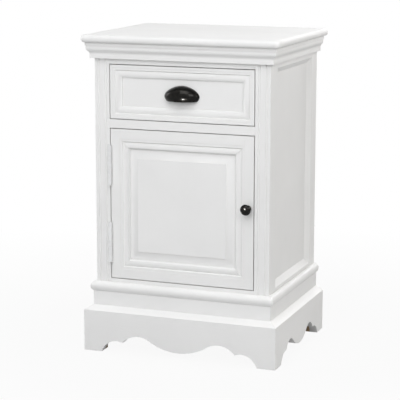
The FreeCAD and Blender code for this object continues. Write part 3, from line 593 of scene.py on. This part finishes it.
def recess(builder, place, outward, head_radius, flush):
    """The cross recess of a screw head and, on a flush head, the fine gap round it."""
    place, outward = Vector(place), Vector(outward)
    reach = head_radius * CROSS_REACH_SHARE
    width = head_radius * CROSS_WIDTH_SHARE
    depth = -head_radius * CROSS_DEPTH_SHARE
    top = cross_outline(place, outward, reach, width, CUT_OVERRUN)
    bottom = cross_outline(place, outward, reach * CROSS_TAPER, width * CROSS_TAPER, depth)
    tapered_prism(builder, (top, bottom))
    if flush:
        inside = head_radius - GROOVE_WIDTH
        section = [
            (-GROOVE_DEPTH, inside), (-GROOVE_DEPTH, head_radius), (CUT_OVERRUN, head_radius),
            (CUT_OVERRUN, inside), (-GROOVE_DEPTH, inside),
        ]
        lathe(builder, section, place, outward)


def cut_screw_heads(node, places, outward, head_radius, flush=False):
    """Cut the recesses of a node's screw heads into its shown form."""
    builder = bmesh.new()
    for place in places:
        recess(builder, place, outward, head_radius, flush)
    bmesh.ops.remove_doubles(builder, verts=builder.verts, dist=SMOOTH_MERGE)
    cutter = new_piece(f"{node}_recesses", builder, None, nodes[node]["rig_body"])
    cutter.hide_render = True
    add_modifier(nodes[node], "BOOLEAN", operation="DIFFERENCE", solver="EXACT", object=cutter)


def screw_heads():
    """Cross recesses on every screw head that can be seen with the door or drawer open."""
    for level in ("upper", "lower"):
        pin_low, pin_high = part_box(f"hinge_pin_{level}")
        axis_x = (pin_low.x + pin_high.x) / 2
        for side, body in ((1, "door"), (-1, "cabinet")):
            node = f"hinge_leaf_{body}_{level}"
            low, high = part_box(node)
            middle = (low.z + high.z) / 2
            face_x = axis_x + side * HINGE_REVEAL / 2
            row_y = high.y - HINGE_SCREW_INSET
            places = [(face_x, row_y, middle + step * HINGE_SCREW_SPACING) for step in (-1, 0, 1)]
            cut_screw_heads(node, places, (-side, 0, 0), HINGE_SCREW_HEAD, flush=True)
    low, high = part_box("cup_pull_screws")
    middle = (low.z + high.z) / 2
    places = [(side * (high.x - MACHINE_SCREW_HEAD), high.y, middle) for side in (-1, 1)]
    cut_screw_heads("cup_pull_screws", places, BACKWARD, MACHINE_SCREW_HEAD)
    low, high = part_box("knob_screw")
    place = ((low.x + high.x) / 2, high.y, (low.z + high.z) / 2)
    cut_screw_heads("knob_screw", [place], BACKWARD, MACHINE_SCREW_HEAD)
    low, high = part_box("strike_plate")
    place = ((low.x + high.x) / 2, high.y, (low.z + high.z) / 2)
    cut_screw_heads("strike_plate", [place], BACKWARD, SMALL_SCREW_HEAD, flush=True)
    low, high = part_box("magnetic_catch")
    level = high.z - CATCH_FLANGE
    middle = (low.y + high.y) / 2
    places = [(x, middle, level) for x in (low.x + CATCH_EAR / 2, high.x - CATCH_EAR / 2)]
    cut_screw_heads("magnetic_catch", places, DOWN, SMALL_SCREW_HEAD, flush=True)


def catch_poles():
    """The two steel pole strips on the face of the magnetic catch."""
    low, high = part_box("magnetic_catch")
    left = low.x + CATCH_EAR + POLE_MARGIN
    right = high.x - CATCH_EAR - POLE_MARGIN
    builder = bmesh.new()
    for level in (low.z + POLE_MARGIN, high.z - CATCH_FLANGE - POLE_MARGIN - POLE_HEIGHT):
        top = level + POLE_HEIGHT
        outlines = []
        for y in (low.y - POLE_PROUD, low.y + POLE_DEPTH):
            outlines.append([(left, y, level), (right, y, level), (right, y, top), (left, y, top)])
        tapered_prism(builder, outlines)
    piece = new_piece("catch_poles", builder, "steel", "cabinet")
    soften(piece, METAL_EDGE)


def shade_smoothly():
    """Even out the shading normals of every piece after its other modifiers."""
    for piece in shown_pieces():
        add_modifier(piece, "WEIGHTED_NORMAL", mode="FACE_AREA", weight=LARGE_FACE_WEIGHT)


def white_to_camera(tree):
    """1 for rays that show or mirror the background, and 0 for those that light the object."""
    path = tree.nodes.new("ShaderNodeLightPath")
    seen = path.outputs["Is Camera Ray"]
    for name in ("Is Glossy Ray", "Is Transmission Ray"):
        larger = tree.nodes.new("ShaderNodeMath")
        larger.operation = "MAXIMUM"
        tree.links.new(seen, larger.inputs[0])
        tree.links.new(path.outputs[name], larger.inputs[1])
        seen = larger.outputs["Value"]
    return seen


def floor():
    """A plain pale floor that keeps a soft shadow and fades into the white background."""
    builder = bmesh.new()
    corners = []
    for x, y in ((-1, -1), (1, -1), (1, 1), (-1, 1)):
        corners.append(builder.verts.new((x * FLOOR_HALF, y * FLOOR_HALF, -FLOOR_DROP)))
    builder.faces.new(corners)
    mesh = bpy.data.meshes.new("floor")
    builder.to_mesh(mesh)
    builder.free()
    ground = bpy.data.objects.new("floor", mesh)
    bpy.context.scene.collection.objects.link(ground)
    paper = Material("studio_floor", Base_Color=FLOOR_PALE, Roughness=0.9, Specular_IOR_Level=0.1)
    distance = paper.add("ShaderNodeVectorMath", {0: paper.place}, operation="LENGTH")
    veil = paper.span(distance.outputs["Value"], *FLOOR_VEIL, *FLOOR_FADE)
    share = paper.times(white_to_camera(paper.tree), veil)
    glow = paper.add("ShaderNodeEmission", {"Color": WHITE, "Strength": 1})
    inputs = {0: share, 1: paper.shader.outputs["BSDF"], 2: glow.outputs["Emission"]}
    blend = paper.add("ShaderNodeMixShader", inputs)
    output = paper.tree.nodes["Material Output"]
    paper.tree.links.new(blend.outputs["Shader"], output.inputs["Surface"])
    mesh.materials.append(paper.block)


def world():
    """An even studio room: white to the camera, softer where it lights the object."""
    room = bpy.data.worlds.new("studio")
    bpy.context.scene.world = room
    room.use_nodes = True
    tree = room.node_tree
    light = tree.nodes["Background"]
    light.inputs["Color"].default_value = WHITE
    light.inputs["Strength"].default_value = AMBIENT
    backdrop = tree.nodes.new("ShaderNodeBackground")
    backdrop.inputs["Color"].default_value = WHITE
    backdrop.inputs["Strength"].default_value = 1
    blend = tree.nodes.new("ShaderNodeMixShader")
    tree.links.new(white_to_camera(tree), blend.inputs[0])
    tree.links.new(light.outputs["Background"], blend.inputs[1])
    tree.links.new(backdrop.outputs["Background"], blend.inputs[2])
    tree.links.new(blend.outputs["Shader"], tree.nodes["World Output"].inputs["Surface"])


def softbox(name, place, target, size, power, colour):
    """A square softbox aimed at a point of the object."""
    lamp = bpy.data.lights.new(name, "AREA")
    lamp.size = size
    lamp.energy = power
    lamp.color = colour
    holder = bpy.data.objects.new(name, lamp)
    bpy.context.scene.collection.objects.link(holder)
    holder.location = place
    holder.rotation_mode = "QUATERNION"
    holder.rotation_quaternion = (Vector(target) - Vector(place)).to_track_quat("-Z", "Y")
    holder.visible_camera = False
    return holder


def lamps():
    """The softboxes round the object."""
    for name, lamp in LAMPS.items():
        softbox(name, *lamp).visible_glossy = name not in UNMIRRORED


def glints():
    """Sparks of light in the pull and the knob, kept off the paint."""
    for name, lamp in GLINTS.items():
        lit = bpy.data.collections.new(f"{name}_lit")
        lit.objects.link(bpy.data.objects[name])
        softbox(f"{name}_glint", *lamp).light_linking.receiver_collection = lit


def camera():
    """The camera, where the photograph was taken from."""
    lens = bpy.data.cameras.new("camera")
    lens.sensor_width = SENSOR_WIDTH
    lens.lens = CAMERA_LENS
    holder = bpy.data.objects.new("camera", lens)
    bpy.context.scene.collection.objects.link(holder)
    holder.location = CAMERA_PLACE
    holder.rotation_euler = CAMERA_TURN
    bpy.context.scene.camera = holder


dress_nodes()
cup_pull()
door_knob()
screw_heads()
catch_poles()
shade_smoothly()
floor()
world()
lamps()
glints()
camera()
bpy.context.scene.view_settings.view_transform = "Standard"
